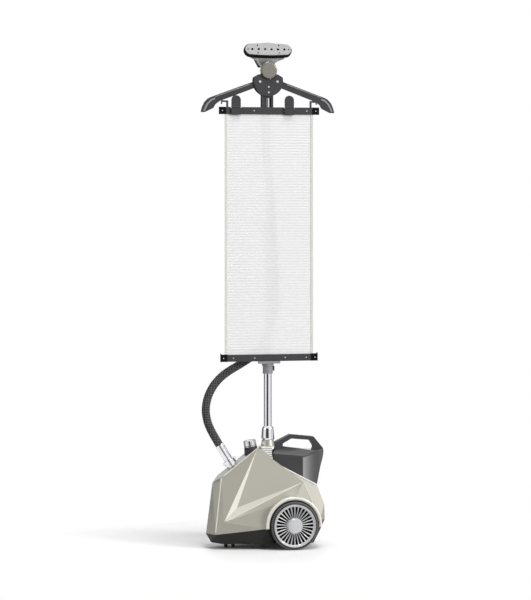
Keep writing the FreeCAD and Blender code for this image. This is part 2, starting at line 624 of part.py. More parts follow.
def board():
    bar = board_bar(BAR_HALF, BAR_Z, BAR_HEIGHT)
    save("top_bar", Part.makeCompound([bar] + bar_ends(BAR_HALF, BAR_Z, BAR_HEIGHT, 0)))
    hook = fuse([box(140, 147, -20, -17, BAR_Z + 12, 1491), box(146, 165, -20, -17, 1485, 1491),
                 box(161, 165, -20, -17, 1478, 1486)])
    save("board_hooks", Part.makeCompound([hook, mirror_x(hook)]))
    save("board_fabric", box(-FABRIC_HALF, FABRIC_HALF, FABRIC_Y - 0.6, FABRIC_Y + 0.6,
                             BOTTOM_BAR_Z + BOTTOM_BAR_HEIGHT / 2, BAR_Z - BAR_HEIGHT / 2))
    bar = board_bar(BAR_HALF - 5, BOTTOM_BAR_Z, BOTTOM_BAR_HEIGHT)
    save("bottom_bar", Part.makeCompound([bar] + bar_ends(BAR_HALF - 5, BOTTOM_BAR_Z, BOTTOM_BAR_HEIGHT, 5)))


def clips():
    """Sprung garment clips in front of the top bar."""
    for node, x in (("clip_left", CLIP_LEFT_X), ("clip_right", CLIP_RIGHT_X)):
        pivot = V(x, CLIP_Y, CLIP_Z)
        top = BAR_Z + 35
        tongue = box(x - 16, x + 16, CLIP_Y - 1.5, CLIP_Y + 1.5, BAR_Z - 14, top)
        tongue = tongue.fuse(rod(16, V(x, CLIP_Y - 1.5, top), V(x, CLIP_Y + 1.5, top)))
        barrel = rod(3, pivot - V(15.5, 0, 0), pivot + V(15.5, 0, 0))
        save(node, tongue.fuse(barrel).cut(rod(1.45, pivot - V(20, 0, 0), pivot + V(20, 0, 0))))


def clip_pins():
    """The pins and lugs that the clips turn on."""
    mounts = []
    for x in (CLIP_LEFT_X, CLIP_RIGHT_X):
        pivot = V(x, CLIP_Y, CLIP_Z)
        pin = rod(1.4, pivot - V(18.5, 0, 0), pivot + V(18.5, 0, 0))
        lugs = [box(x + a, x + a + 2, CLIP_Y - 2.5, BAR_FRONT_Y, CLIP_Z - 3, CLIP_Z + 1)
                for a in (-18.5, 16.5)]
        mounts.append(fuse([pin] + lugs))
    return mounts


# ---------------------------------------------------------------- steam head

def oval(half_width, corner_x, half_height, hump, y):
    """Closed outline with round ends and slightly bowed long sides, in X and Z at a depth y."""
    w, h = corner_x, half_height
    edges = [
        Part.Arc(V(-w, y, -h), V(-half_width, y, 0), V(-w, y, h)).toShape(),
        Part.Arc(V(-w, y, h), V(0, y, h + hump), V(w, y, h)).toShape(),
        Part.Arc(V(w, y, h), V(half_width, y, 0), V(w, y, -h)).toShape(),
        Part.Arc(V(w, y, -h), V(0, y, -h - hump), V(-w, y, -h)).toShape(),
    ]
    return Part.Wire(edges)


def plate_outline(grow, y):
    """Outline of the soleplate, grown all round."""
    return oval(HEAD_WIDTH / 2 + grow, PLATE_CORNER_X, PLATE_HALF_Z + grow, 2.5, y)


def in_place(shape):
    """Tilts a head part back and carries it up to the head."""
    shape.rotate(V(0, 0, 0), X_AXIS, -HEAD_TILT)
    shape.translate(V(0, HEAD_Y, HEAD_Z))
    return shape


def head_ring(half_width, half_depth, y, z, tilt):
    """A cross-section of the head's body, tilted so that the body turns down into the handle."""
    ring = oval(half_width, half_width * 0.62, half_depth, 1.5, 0)
    ring.rotate(V(0, 0, 0), X_AXIS, -tilt)
    ring.translate(V(0, y, z))
    return ring


def steam_head():
    sole = Part.Face(plate_outline(0, -4)).extrude(V(0, 4, 0))
    hump = Part.Arc(V(-36, -4, PLATE_HALF_Z), V(0, -4, PLATE_HALF_Z + 6), V(36, -4, PLATE_HALF_Z)).toShape()
    chord = Part.LineSegment(V(36, -4, PLATE_HALF_Z), V(-36, -4, PLATE_HALF_Z)).toShape()
    sole = sole.fuse(Part.Face(Part.Wire([hump, chord])).extrude(V(0, 4, 0))).removeSplitter()
    for n in range(6):
        x = (n - 2.5) * HOLE_PITCH
        sole = sole.cut(rod(HOLE_R, V(x, -10, 0), V(x, 10, 0)))
    screws = [rod(1.8, V(x, -4.8, z), V(x, -4, z)) for x, z in
              ((-37, 13), (37, 13), (-37, -13), (37, -13), (-70, 0), (70, 0))]
    save("soleplate", in_place(Part.makeCompound([sole] + screws)))
    ring = Part.Face(plate_outline(SEAL_GROW, 0)).extrude(V(0, SEAL_DEPTH, 0))
    save("head_seal", in_place(ring))
    front = in_place(plate_outline(-2, SEAL_DEPTH))
    flare = head_ring(62, 13, 5, 1641, 42)
    throat = head_ring(38, 14, 14, 1628, 62)
    body = Part.makeLoft([front, flare, throat, head_ring(21, 15, 27, 1607, 86)], True, True)
    save("head_shell", body)
    neck = Part.makeLoft([head_ring(44, 12, 33, 1636, 60), head_ring(25, 15, 36, 1604, 86)], True, True)
    grip_end = rod(HANDLE_R, V(0, HANDLE_Y, 1560), V(0, HANDLE_Y, 1607))
    inside = rod(HANDLE_R, V(0, HANDLE_Y, 1400), V(0, HANDLE_Y, 1601))
    handle = rod(HANDLE_R, V(0, HANDLE_Y, CUFF_TOP_Z), V(0, HANDLE_Y, 1600.5))
    boss = rod(14, V(0, CAP_BACK_Y, CAP_Z), V(0, HANDLE_Y - HANDLE_R + 4, CAP_Z)).cut(inside)
    save("head_neck", neck.fuse(grip_end).cut(body).cut(inside).cut(boss))
    save("head_handle", handle.fuse(boss).cut(body))
    cap_front = V(0, CAP_BACK_Y - 15, CAP_Z)
    bevel = cone(26, CAP_R, cap_front - V(0, 2.5, 0), cap_front)
    save("round_cap", rod(CAP_R, cap_front, V(0, CAP_BACK_Y, CAP_Z)).fuse(bevel))
    save("hose_cuff", pipe(HANDLE_R, HOSE_R + 0.8, V(0, HANDLE_Y, 1405), V(0, HANDLE_Y, CUFF_TOP_Z)))


# ---------------------------------------------------------------- steam hose

HOSE_ROUTE = [
    V(-167.1, 0, 343.8), V(-190.9, 0, 382), V(-209, 1, 423), V(-213.5, 4, 468), V(-201, 8, 513),
    V(-175, 13, 552), V(-139, 18, 582), V(-85, 26, 610), V(-38, 34, 638), V(-1, 39, 679), V(23, 41, 739),
    V(35, 40, 828), V(33, 39, 958), V(22, 37, 1118), V(8, 35, 1277), V(0, 34, 1385), V(0, 34, 1462),
]


def route_wire(points):
    """Straight runs joined by tangent arcs as large as the runs allow."""
    edges = []
    start = points[0]
    for before, corner, after in zip(points, points[1:], points[2:]):
        into = corner - before
        out = after - corner
        reach = 0.45 * min(into.Length, out.Length)
        half_turn = into.getAngle(out) / 2
        print("hose arc radius %.0f" % (reach / math.tan(half_turn)))
        into.normalize()
        out.normalize()
        arc_start = corner - into * reach
        arc_end = corner + out * reach
        inward = out - into
        inward.normalize()
        radius = reach / math.tan(half_turn)
        middle = corner + inward * (radius / math.cos(half_turn) - radius)
        edges.append(Part.LineSegment(start, arc_start).toShape())
        edges.append(Part.Arc(arc_start, middle, arc_end).toShape())
        start = arc_end
    edges.append(Part.LineSegment(start, points[-1]).toShape())
    return Part.Wire(edges)


def hose():
    path = route_wire(HOSE_ROUTE)
    section = Part.Wire(Part.makeCircle(HOSE_R, HOSE_ROUTE[0], HOSE_ROUTE[1] - HOSE_ROUTE[0]))
    tube = path.makePipeShell([section], True, False)
    ratio = tube.Volume / (math.pi * HOSE_R ** 2 * path.Length)
    print("hose length %.0f, volume ratio %.4f" % (path.Length, ratio))
    save("steam_hose", tube)


os.makedirs("parts", exist_ok=True)
shells()
base_pan()
running_gear()
hose_port()
steam_knob()
inner_parts()
vent_tower()
tank()
pole()
hub()
arms()
board()
clips()
steam_head()
hose()
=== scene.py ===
"""The looks of the garment steamer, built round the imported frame.

Everything is in metres, apart from the paths and outlines that a note gives in millimetres.
"""

import json
import math

import bmesh
import bpy
import numpy as np
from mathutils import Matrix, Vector


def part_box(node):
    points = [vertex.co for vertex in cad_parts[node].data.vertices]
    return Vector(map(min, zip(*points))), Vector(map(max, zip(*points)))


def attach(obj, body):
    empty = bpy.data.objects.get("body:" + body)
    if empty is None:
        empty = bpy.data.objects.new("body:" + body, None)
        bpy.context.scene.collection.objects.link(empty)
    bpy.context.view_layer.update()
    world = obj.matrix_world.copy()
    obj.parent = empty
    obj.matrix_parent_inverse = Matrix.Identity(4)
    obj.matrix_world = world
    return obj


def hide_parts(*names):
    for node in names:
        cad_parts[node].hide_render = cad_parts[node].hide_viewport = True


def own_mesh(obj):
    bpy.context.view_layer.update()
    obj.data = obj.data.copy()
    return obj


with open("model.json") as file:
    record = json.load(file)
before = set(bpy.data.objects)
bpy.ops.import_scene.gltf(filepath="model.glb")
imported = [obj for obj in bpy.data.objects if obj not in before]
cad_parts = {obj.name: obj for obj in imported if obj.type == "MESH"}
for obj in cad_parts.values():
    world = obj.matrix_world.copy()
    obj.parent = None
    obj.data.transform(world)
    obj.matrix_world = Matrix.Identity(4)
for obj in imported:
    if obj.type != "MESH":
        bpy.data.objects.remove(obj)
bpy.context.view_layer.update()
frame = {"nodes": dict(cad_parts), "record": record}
MM = 0.001


# ---------------------------------------------------------------- shader maths

class Value:
    """A shader number: arithmetic on it adds Math nodes to its own tree."""

    def __init__(self, tree, socket):
        self.tree = tree
        self.socket = socket

    def _math(self, operation, other, swap=False):
        node = self.tree.nodes.new("ShaderNodeMath")
        node.operation = operation
        pair = (other, self) if swap else (self, other)
        for slot, item in zip(node.inputs, pair):
            if isinstance(item, Value):
                self.tree.links.new(item.socket, slot)
            elif item is not None:
                slot.default_value = item
        return Value(self.tree, node.outputs[0])

    def __add__(self, other):
        return self._math("ADD", other)

    __radd__ = __add__

    def __sub__(self, other):
        return self._math("SUBTRACT", other)

    def __rsub__(self, other):
        return self._math("SUBTRACT", other, True)

    def __mul__(self, other):
        return self._math("MULTIPLY", other)

    __rmul__ = __mul__

    def sine(self):
        return self._math("SINE", None)

    def absolute(self):
        return self._math("ABSOLUTE", None)

    def maximum(self, other):
        return self._math("MAXIMUM", other)

    def above(self, other):
        return self._math("GREATER_THAN", other)

    def below(self, other):
        return self._math("LESS_THAN", other)

    def heading(self, other):
        """The angle whose tangent is self over other."""
        return self._math("ARCTAN2", other)


class Finish:
    """One material: a Principled shader and the nodes that feed it."""

    def __init__(self, name, color, **sockets):
        self.material = bpy.data.materials.new(name)
        self.material.use_nodes = True
        self.tree = self.material.node_tree
        self.shader = self.tree.nodes["Principled BSDF"]
        self.color = color
        self.shader.inputs["Base Color"].default_value = (*color, 1)
        for key, amount in sockets.items():
            self.shader.inputs[key.replace("_", " ")].default_value = amount

    def node(self, kind, settings=None, **inputs):
        """Adds a node: its settings first, then the values or links of its sockets."""
        made = self.tree.nodes.new(kind)
        for key, item in (settings or {}).items():
            setattr(made, key, item)
        for key, item in inputs.items():
            slot = made.inputs[key.replace("_", " ")]
            if isinstance(item, Value):
                self.tree.links.new(item.socket, slot)
            else:
                slot.default_value = item
        return made

    def value(self, node, output):
        return Value(self.tree, node.outputs[output])

    def place(self, stretch=(1, 1, 1)):
        """Object coordinates, stretched."""
        where = self.node("ShaderNodeTexCoord")
        spread = self.node("ShaderNodeMapping", Vector=self.value(where, "Object"), Scale=stretch)
        return self.value(spread, "Vector")

    def noise(self, scale, detail=3.0, stretch=(1, 1, 1), rough=0.5):
        made = self.node("ShaderNodeTexNoise", Vector=self.place(stretch), Scale=scale, Detail=detail,
                         Roughness=rough)
        return self.value(made, "Fac")

    def wave(self, direction, **inputs):
        """Bands across one axis, in object coordinates."""
        settings = {"bands_direction": direction}
        made = self.node("ShaderNodeTexWave", settings, Vector=self.place(), **inputs)
        return self.value(made, "Fac")

    def feed(self, socket, value):
        self.tree.links.new(value.socket, self.shader.inputs[socket])

    def tint(self, mask, other, amount=1.0):
        """Mixes the base colour towards another by a mask."""
        mix = self.node("ShaderNodeMix", {"data_type": "RGBA"})
        factor = mask * amount
        self.tree.links.new(factor.socket, mix.inputs[0])
        mix.inputs[6].default_value = (*self.color, 1)
        mix.inputs[7].default_value = (*other, 1)
        self.tree.links.new(mix.outputs[2], self.shader.inputs["Base Color"])

    def bump(self, height, strength, distance):
        made = self.node("ShaderNodeBump", Height=height, Strength=strength, Distance=distance)
        self.tree.links.new(made.outputs["Normal"], self.shader.inputs["Normal"])


def pearl(name, color, other, metal, rough):
    """Pearl paint: fine flake in the colour, slight orange peel under a clear coat."""
    f = Finish(name, color, Metallic=metal, Coat_Weight=0.35, Coat_Roughness=0.12)
    f.tint(f.noise(1900, 2), other, 0.55)
    f.feed("Roughness", rough + 0.08 * f.noise(60, 3))
    f.bump(f.noise(420, 2), 0.05, 0.0006)
    return f.material


def moulded(name, color, rough=0.5, grain=1400, shine=0.32):
    """Moulded plastic: fine spark grain, faint wear."""
    f = Finish(name, color, Specular_IOR_Level=shine)
    f.tint(f.noise(9, 4), tuple(min(1, c * 1.35 + 0.006) for c in color), 0.5)
    f.feed("Roughness", rough + 0.14 * f.noise(40, 3))
    f.bump(f.noise(grain, 3), 0.22, 0.0005)
    return f.material


def metal(name, color, rough, stretch=(1, 1, 1), scale=300, streak=0.1):
    """Metal with fine streaks drawn along one axis."""
    f = Finish(name, color, Metallic=1.0)
    f.tint(f.noise(scale, 3, stretch), tuple(c * 0.82 for c in color), 0.4)
    f.feed("Roughness", rough + streak * f.noise(scale, 3, stretch))
    f.bump(f.noise(scale * 2, 2, stretch), 0.05, 0.0002)
    return f.material


def rubber(name, color, dusty):
    """Dull rubber, mottled towards a dusty colour."""
    f = Finish(name, color, Specular_IOR_Level=0.3)
    f.tint(f.noise(30, 4), dusty, 0.7)
    f.feed("Roughness", 0.55 + 0.25 * f.noise(80, 3))
    f.bump(f.noise(900, 3), 0.3, 0.0006)
    return f.material


# The paler band on the rear of the tank is a painted highlight: a reflection of the soft box, painted into
# the colour.
BAND_X = 0.1095  # the tank is paler from here back
BAND_END_X = 0.168  # where that band has died away
BAND_GAIN = 17.0
BAND_Z = 0.270  # the band stays under the line z = BAND_Z + BAND_SLOPE x
BAND_SLOPE = 0.25
PALING_X = 0.115  # in front of this the tank pales slowly downwards from PALING_Z
PALING_Z = 0.335


def smoked():
    """Smoked plastic, almost opaque, with a painted highlight band at the rear, and paler towards the
    bottom in front of it.
    """
    f = Finish("smoked_plastic", (0.055, 0.055, 0.057), Coat_Weight=0.6, Coat_Roughness=0.06)
    split = f.node("ShaderNodeSeparateXYZ", Vector=f.place())
    x, z = f.value(split, "X"), f.value(split, "Z")
    # Painted highlight: the band that lightens the rear of the tank.
    highlight_band = (x.above(BAND_X) * (BAND_END_X - x) * BAND_GAIN).maximum(0.0)
    highlight_band = highlight_band * (z - BAND_SLOPE * x).below(BAND_Z)
    lower_paling = (PALING_Z - z) * 2.0 * (PALING_X - x).above(0.0)
    f.tint(highlight_band * highlight_band + 0.15 * lower_paling + 0.04 * f.noise(14, 3, (1, 1, 0.6)), (0.36, 0.36, 0.37), 0.8)
    f.feed("Roughness", 0.2 + 0.06 * f.noise(50, 3))
    f.feed("Alpha", 0.96 + 0.03 * f.noise(20, 2))
    f.bump(f.noise(300, 2), 0.04, 0.0004)
    return f.material


def sheer_cloth():
    """Sheer cloth: a fine weave, thin enough to show the pole behind."""
    f = Finish("sheer_cloth", (0.93, 0.93, 0.93), Sheen_Weight=0.25, Specular_IOR_Level=0.25)
    yarn = {"Scale": 420.0, "Distortion": 0.4, "Detail": 1.0}
    threads = f.wave("X", **yarn) * f.wave("Z", **yarn)
    f.tint(f.noise(90, 4, (1, 1, 6)), (0.85, 0.85, 0.855), 0.5)
    f.feed("Roughness", 0.75 + 0.15 * threads)
    f.feed("Alpha", 0.74 + 0.12 * threads)
    f.bump(threads, 0.25, 0.0004)
    return f.material


def binding():
    """Cream binding tape with fine crosswise cords."""
    f = Finish("cream_binding", (0.76, 0.755, 0.725), Sheen_Weight=0.3)
    cords = f.wave("Z", Scale=600.0, Distortion=0.3)
    f.tint(cords, (0.68, 0.67, 0.635), 0.5)
    f.feed("Roughness", 0.8 + 0.1 * f.noise(200))
    f.bump(cords, 0.4, 0.0004)
    return f.material


def crossing(x, z, rate):
    """Waves along both diagonals of X and Z, multiplied: sin(rate (x + z)) sin(rate (x - z))."""
    return ((x + z) * rate).sine() * ((x - z) * rate).sine()


def braid():
    """Braided sleeve: light and dark strands that cross, with finer ones in the relief."""
    f = Finish("hose_braid", (0.005, 0.005, 0.006), Specular_IOR_Level=0.3)
    split = f.node("ShaderNodeSeparateXYZ", Vector=f.place())
    x, z = f.value(split, "X"), f.value(split, "Z")
    f.tint(crossing(x, z, 560.0).above(0.15), (0.17, 0.17, 0.175), 0.9)
    f.feed("Roughness", 0.5 + 0.2 * f.noise(500))
    f.bump(crossing(x, z, 3400.0), 0.5, 0.0005)
    return f.material


FADE_START = 0.25  # the floor is whole within this distance of the centre
FADE_END = 1.15  # and gone from this one out


def ground():
    """A pale floor that fades into the white surroundings away from the machine."""
    f = Finish("pale_floor", (0.95, 0.95, 0.95), Specular_IOR_Level=0.2)
    f.tint(f.noise(2, 2), (0.92, 0.92, 0.92), 0.3)
    f.feed("Roughness", 0.6 + 0.1 * f.noise(3))
    reach = f.node("ShaderNodeVectorMath", {"operation": "LENGTH"}, Vector=f.place())
    fade = f.node("ShaderNodeMapRange", {"interpolation_type": "SMOOTHSTEP"}, Value=f.value(reach, "Value"),
                  From_Min=FADE_START, From_Max=FADE_END, To_Min=1.0, To_Max=0.0)
    f.feed("Alpha", f.value(fade, "Result"))
    return f.material


CHAMPAGNE = pearl("champagne_pearl", (0.43, 0.418, 0.358), (0.50, 0.488, 0.425), 0.35, 0.30)
SILVER = pearl("silver_grey_paint", (0.25, 0.25, 0.245), (0.32, 0.32, 0.31), 0.35, 0.3)
HEAD_GREY = pearl("head_grey_paint", (0.40, 0.40, 0.40), (0.48, 0.48, 0.48), 0.3, 0.3)
LIGHT_TRIM = pearl("white_trim", (0.80, 0.80, 0.79), (0.88, 0.88, 0.87), 0.1, 0.3)
DARK = moulded("charcoal_plastic", (0.034, 0.033, 0.036), 0.5)
PAN_DARK = moulded("pan_plastic", (0.012, 0.012, 0.010), 0.5, 1400, 0.25)
BLACK = moulded("black_plastic", (0.003, 0.003, 0.003), 0.7, 1400, 0.1)
# Grey plastic: the lower lock collar's own colour, also used as painted highlight on the arms and as
# painted shade inside the vent tower.
GREY_AND_PAINTED_LIGHT = moulded("grey_plastic_and_painted_light", (0.26, 0.26, 0.27), 0.35)
GREEN = moulded("solder_mask", (0.02, 0.13, 0.05), 0.35)
CHROME = metal("polished_chrome", (0.84, 0.84, 0.86), 0.05, (1, 1, 0.1), 200, 0.04)
STEEL = metal("zinc_steel", (0.62, 0.62, 0.64), 0.3, (1, 1, 1), 400)
PLATE = moulded("satin_aluminium", (0.37, 0.37, 0.375), 0.5, 500, 0.3)
BRASS = metal("machined_brass", (0.75, 0.58, 0.27), 0.25, (1, 1, 1), 300)
WHEEL_SILVER = pearl("wheel_silver", (0.56, 0.56, 0.57), (0.64, 0.64, 0.65), 0.45, 0.26)
# A paler copy of the champagne pearl: painted highlight for the recess walls, the shell creases and the
# arch lips.
HIGHLIGHT_PEARL = pearl("highlight_pearl", (0.70, 0.685, 0.61), (0.78, 0.765, 0.69), 0.1, 0.25)
# A darker copy of the champagne pearl for the round cap: painted shade.
SHADED_CHAMPAGNE = pearl("disc_shaded_champagne", (0.20, 0.192, 0.162), (0.25, 0.242, 0.21), 0.55, 0.2)
# A paler copy of the champagne pearl: painted highlight for the ledge of the side recess.
LEDGE_HIGHLIGHT = pearl("ledge_highlight_pearl", (0.58, 0.565, 0.50), (0.66, 0.645, 0.58), 0.2, 0.28)
CAP_SILVER = pearl("cap_silver", (0.50, 0.50, 0.51), (0.58, 0.58, 0.59), 0.3, 0.35)
RUBBER = rubber("tyre_rubber", (0.008, 0.008, 0.009), (0.025, 0.024, 0.022))
# A paler copy of the tyre rubber: painted highlight on the tread bars and lugs.
TREAD_HIGHLIGHT = rubber("tread_highlight_rubber", (0.14, 0.14, 0.142), (0.18, 0.178, 0.172))
TANK = smoked()
CLOTH = sheer_cloth()
BINDING = binding()
BRAID = braid()


# ---------------------------------------------------------------- mesh makers

def put(name, points, faces, material, body, node=(), smooth=35.0):
    """Puts a surface in the scene: merges its seams, points its faces outwards, rides it on a body."""
    mesh = bpy.data.meshes.new(name)
    mesh.from_pydata(np.asarray(points, float).reshape(-1, 3).tolist(), [], [list(f) for f in faces])
    work = bmesh.new()
    work.from_mesh(mesh)
    bmesh.ops.remove_doubles(work, verts=work.verts, dist=2e-6)
    bmesh.ops.recalc_face_normals(work, faces=work.faces)
    work.to_mesh(mesh)
    work.free()
    return place_mesh(name, mesh, material, body, node, smooth)


def place_mesh(name, mesh, material, body, node=(), smooth=35.0, flat=False):
    """Makes a piece of a mesh: edges over smooth degrees stay sharp, flat keeps large faces evenly lit."""
    mesh.materials.clear()
    mesh.materials.append(material)
    mesh.shade_smooth()
    mesh.set_sharp_from_angle(angle=math.radians(smooth))
    piece = bpy.data.objects.new(name, mesh)
    bpy.context.scene.collection.objects.link(piece)
    if flat:
        even = piece.modifiers.new("flat_faces", "WEIGHTED_NORMAL")
        even.weight = 100
        even.keep_sharp = True
    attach(piece, body)
    nodes = (node,) if isinstance(node, str) else node
    if nodes:
        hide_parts(*nodes)
    return piece


def grid_faces(rows, columns, around=False):
    """Faces of a grid of points, rows by columns; around joins the last column to the first."""
    r = np.arange(rows - 1)[:, None]
    c = np.arange(columns if around else columns - 1)[None, :]
    d = (c + 1) % columns
    here, below = r * columns, (r + 1) * columns
    quads = np.stack(np.broadcast_arrays(here + c, here + d, below + d, below + c), axis=-1)
    return quads.reshape(-1, 4).tolist()


def border(rows, columns):
    """The points round the edge of such a grid, in order."""
    last = (rows - 1) * columns
    first_column = [r * columns for r in range(rows)]
    last_row = [last + c for c in range(1, columns)]
    last_column = [r * columns + columns - 1 for r in range(rows - 2, -1, -1)]
    return first_column + last_row + last_column + list(range(columns - 2, 0, -1))


def block(start):
    """Faces of a block whose eight points, from start, go round its underside and then round its top."""
    faces = [[start + 4, start + 5, start + 6, start + 7]]
    for a, b in ((0, 1), (1, 2), (2, 3), (3, 0)):
        faces.append([start + a, start + b, start + b + 4, start + a + 4])
    return faces + [[start + 3, start + 2, start + 1, start]]


def side_name(side):
    """The left side is -1, the right side 1."""
    return "left" if side < 0 else "right"


def basis(axis):
    """Two unit vectors square to an axis."""
    axis = np.asarray(axis, float) / np.linalg.norm(axis)
    side = np.cross(axis, (0, 0, 1) if abs(axis[2]) < 0.9 else (0, 1, 0))
    side = side / np.linalg.norm(side)
    return side, np.cross(axis, side), axis


def lathe(name, profile, centre, axis, material, body, node=(), steps=72, smooth=30.0):
    """A profile of (radius, height) points turned about an axis.

    point = centre + r (cos a side + sin a other) + h axis
    """
    side, other, along = basis(axis)
    outline = np.asarray(profile, float)
    angle = np.linspace(0, 2 * math.pi, steps, endpoint=False)
    ring = np.cos(angle)[:, None] * side + np.sin(angle)[:, None] * other
    points = (np.asarray(centre, float) + outline[:, 0][:, None, None] * ring[None]
              + outline[:, 1][:, None, None] * along)
    faces = grid_faces(len(outline), steps, True)
    return put(name, points, faces, material, body, node, smooth)


def rounded(profile, radius, steps=4):
    """Rounds the corners of a lathe profile with short arcs."""
    done = [profile[0]]
    for before, corner, after in zip(profile, profile[1:], profile[2:]):
        a, b, c = (np.asarray(p, float) for p in (before, corner, after))
        reach = min(radius, 0.45 * np.linalg.norm(a - b), 0.45 * np.linalg.norm(c - b))
        start = b + (a - b) / np.linalg.norm(a - b) * reach
        end = b + (c - b) / np.linalg.norm(c - b) * reach
        for t in np.linspace(0, 1, steps + 1):
            done.append(tuple((1 - t) ** 2 * start + 2 * t * (1 - t) * b + t ** 2 * end))
    return done + [profile[-1]]


def soften(node, material, width=0.0008, segments=2, angle=18.0):
    """A copy of a CAD piece: flat faces rejoined, then edges over angle degrees bevelled by width."""
    mesh = frame["nodes"][node].data.copy()
    work = bmesh.new()
    work.from_mesh(mesh)
    bmesh.ops.remove_doubles(work, verts=work.verts, dist=1e-6)
    bmesh.ops.dissolve_limit(work, angle_limit=math.radians(0.6), verts=work.verts, edges=work.edges)
    sharp = [edge for edge in work.edges
             if len(edge.link_faces) == 2 and edge.calc_face_angle(0) > math.radians(angle)]
    bmesh.ops.bevel(work, geom=sharp, offset=width, segments=segments, profile=0.5, affect="EDGES",
                    clamp_overlap=True, miter_outer="ARC")
    bmesh.ops.triangulate(work, faces=[f for f in work.faces if len(f.verts) > 4])
    work.to_mesh(mesh)
    work.free()
    for layer in list(mesh.attributes):
        if layer.name == "custom_normal":
            mesh.attributes.remove(layer)
    return place_mesh(node + "_skin", mesh, material, node_body(node), node, 40.0, True)


def bead(name, path, radius, material, body):
    """A round bead along a path in millimetres.

    point = path + r t (cos a side + sin a up), with t falling to 0 at the ends
    """
    around = 14
    line, length = evenly(np.asarray(path, float) * MM, 0.002)
    ahead = np.gradient(line, axis=0)
    ahead /= np.linalg.norm(ahead, axis=1)[:, None]
    side = np.cross(ahead, (0, 0, 1))
    side /= np.linalg.norm(side, axis=1)[:, None]
    up = np.cross(side, ahead)
    run = np.linspace(0, length, len(line))
    taper = np.sqrt(np.clip(np.minimum(run, length - run) / (radius * 1.2), 0.0004, 1))[:, None, None]
    angle = np.linspace(0, 2 * math.pi, around, endpoint=False)[None, :, None]
    round_it = np.cos(angle) * side[:, None] + np.sin(angle) * up[:, None]
    points = line[:, None] + radius * taper * round_it
    last = (len(line) - 1) * around
    faces = grid_faces(len(line), around, True)
    faces += [list(range(around)), [last + n for n in range(around)]]
    return put(name, points, faces, material, body, (), 60)


def flat_piece(name, outline, y0, y1, material, body, edge=0.0004):
    """An outline in X and Z, in millimetres, carried from y0 to y1, its front edge drawn in."""
    corners = np.asarray(outline, float) * MM
    centre = corners.mean(axis=0)
    away = corners - centre
    drawn = centre + away * (1 - edge / np.linalg.norm(away, axis=1))[:, None]
    rings = [(corners, y1 * MM), (corners, y0 * MM + edge), (drawn, y0 * MM)]
    n = len(corners)
    points = np.concatenate([np.stack([ring[:, 0], np.full(n, y), ring[:, 1]], axis=1)
                             for ring, y in rings])
    faces = grid_faces(3, n, True) + [list(range(n)), [2 * n + k for k in range(n)]]
    return put(name, points, faces, material, body, (), 30)


def node_body(node):
    """The body that a CAD node rides on."""
    groups = frame["record"]["behaviour"]["bodies"]
    return next(body for body, members in groups.items() if node in members)


# ---------------------------------------------------------------- the steam hose

HOSE_R = 0.0135
HOSE_ROUTE = [  # in millimetres
    (-167.1, 0, 343.8), (-190.9, 0, 382), (-209, 1, 423), (-213.5, 4, 468), (-201, 8, 513), (-175, 13, 552),
    (-139, 18, 582), (-85, 26, 610), (-38, 34, 638), (-1, 39, 679), (23, 41, 739), (35, 40, 828),
    (33, 39, 958), (22, 37, 1118), (8, 35, 1277), (0, 34, 1385), (0, 34, 1462),
]


def hose_line():
    """Points along the hose: a smooth curve with the route as its control points."""
    curve = bpy.data.curves.new("hose_line", "CURVE")
    curve.dimensions = "3D"
    spline = curve.splines.new("NURBS")
    spline.points.add(len(HOSE_ROUTE) - 1)
    for point, place in zip(spline.points, HOSE_ROUTE):
        point.co = (place[0] * MM, place[1] * MM, place[2] * MM, 1)
    spline.order_u = 3
    spline.use_endpoint_u = True
    spline.resolution_u = 24
    holder = bpy.data.objects.new("hose_line", curve)
    bpy.context.scene.collection.objects.link(holder)
    mesh = bpy.data.meshes.new_from_object(holder)
    line = np.array([v.co[:] for v in mesh.vertices])
    bpy.data.objects.remove(holder)
    bpy.data.meshes.remove(mesh)
    return line


def evenly(line, step):
    """The same line at even steps."""
    gone = np.concatenate([[0], np.cumsum(np.linalg.norm(np.diff(line, axis=0), axis=1))])
    marks = np.linspace(0, gone[-1], int(gone[-1] / step))
    return np.stack([np.interp(marks, gone, line[:, k]) for k in range(3)], axis=1), gone[-1]


def hose():
    """A tube along the line, bulging between crossing strands: R + a |sin(n u + k v) sin(n u - k v)|."""
    strands = 6
    pitch = 0.0105
    relief = 0.0011
    line, length = evenly(hose_line(), 0.0022)
    ahead = np.gradient(line, axis=0)
    ahead /= np.linalg.norm(ahead, axis=1)[:, None]
    side = np.cross(ahead, (0, 1, 0))
    side /= np.linalg.norm(side, axis=1)[:, None]
    other = np.cross(ahead, side)
    columns = 48
    angle = np.linspace(0, 2 * math.pi, columns, endpoint=False)[None, :]
    turn = math.pi * np.linspace(0, length, len(line))[:, None] / pitch
    weave = np.abs(np.sin(strands * angle + turn) * np.sin(strands * angle - turn))
    radius = HOSE_R - 0.0006 + relief * weave
    round_it = np.cos(angle)[..., None] * side[:, None] + np.sin(angle)[..., None] * other[:, None]
    points = (line[:, None] + radius[..., None] * round_it).reshape(-1, 3)
    faces = grid_faces(len(line), columns, True)
    first, last = len(points), len(points) + 1
    points = np.vstack([points, line[0], line[-1]])
    base = (len(line) - 1) * columns
    faces += [[first, (c + 1) % columns, c] for c in range(columns)]
    faces += [[last, base + c, base + (c + 1) % columns] for c in range(columns)]
    piece = put("hose_sleeve_braid", points, faces, BRAID, "base", "steam_hose", 180)
    top = line[-1][2]
    low = line[0][2]
    1 - 0.6 / (top - low)
    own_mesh(piece)


# ---------------------------------------------------------------- the board

def slow_wave(x, z, ease):
    """How far the cloth stands off its plane, to 1.2 mm."""
    return 0.0012 * np.sin(9 * x + 3 * z) * ease


